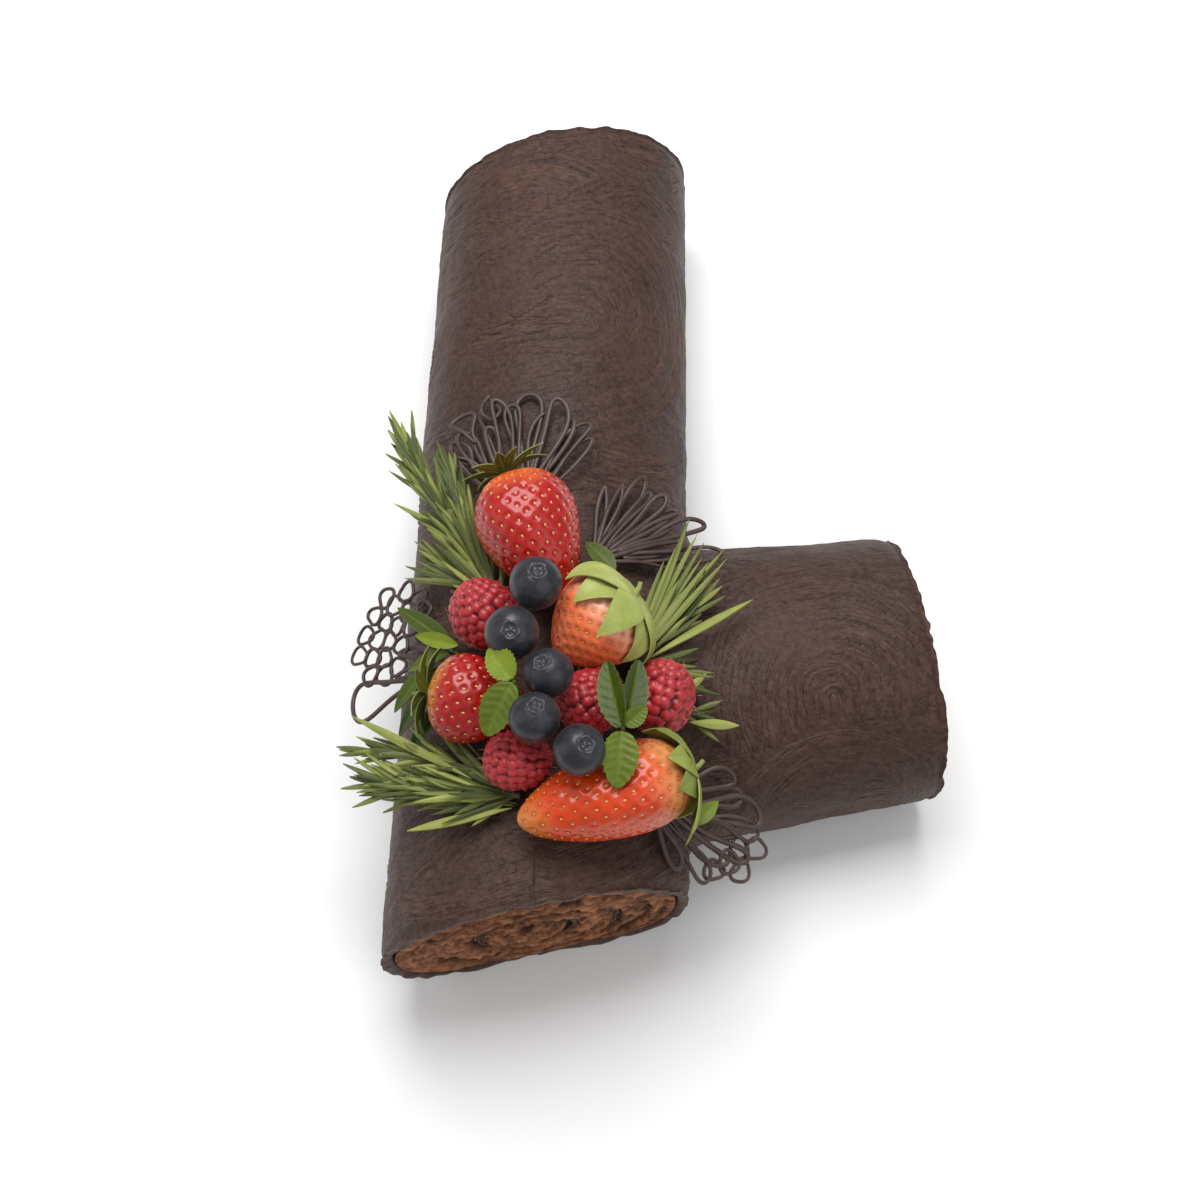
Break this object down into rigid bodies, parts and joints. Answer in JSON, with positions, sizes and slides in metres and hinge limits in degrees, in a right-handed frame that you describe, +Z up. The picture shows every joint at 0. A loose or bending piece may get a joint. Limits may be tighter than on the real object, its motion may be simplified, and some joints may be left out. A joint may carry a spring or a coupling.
{
  "type": "yule log cake",
  "caption": "Chocolate yule log cake with a side branch, combed dark frosting, rolled sponge at the cut ends, fresh berries and chocolate lace.",
  "frame": {"origin": "on the trunk's flat underside, half way along the trunk and midway across it", "axes": "+Y along the trunk, away from the end that faces the front; +X towards the side branch; +Z up"},
  "size_m": [0.1736, 0.2716, 0.1008],
  "materials": {
    "frosting": "dark chocolate cream, combed with a fork, soft sheen",
    "sponge": "open brown cake crumb, dull",
    "filling": "chocolate cream between the turns of the roll",
    "strawberry": "wet glossy red skin with pale seeds in dimples",
    "calyx": "thin green leaves",
    "raspberry": "soft red drupelets with fine hairs",
    "blueberry": "dark blue skin under a dusty bloom",
    "lace": "piped dark chocolate, satin"
  },
  "bodies": {
    "root": {"frosting": "frosting", "trunk_sponge": "sponge", "trunk_filling": "filling", "branch_sponge": "sponge", "branch_filling": "filling", "strawberry_top": "strawberry", "strawberry_top_calyx": "calyx", "strawberry_right": "strawberry", "strawberry_right_calyx": "calyx", "strawberry_left": "strawberry", "strawberry_left_calyx": "calyx", "strawberry_near": "strawberry", "strawberry_near_calyx": "calyx", "raspberry_left": "raspberry", "raspberry_middle": "raspberry", "raspberry_right": "raspberry", "raspberry_near": "raspberry", "blueberry_1": "blueberry", "blueberry_2": "blueberry", "blueberry_3": "blueberry", "blueberry_4": "blueberry", "blueberry_5": "blueberry", "lace_far": "lace", "lace_corner": "lace", "lace_left": "lace", "lace_near": "lace"}
  },
  "joints": []
}
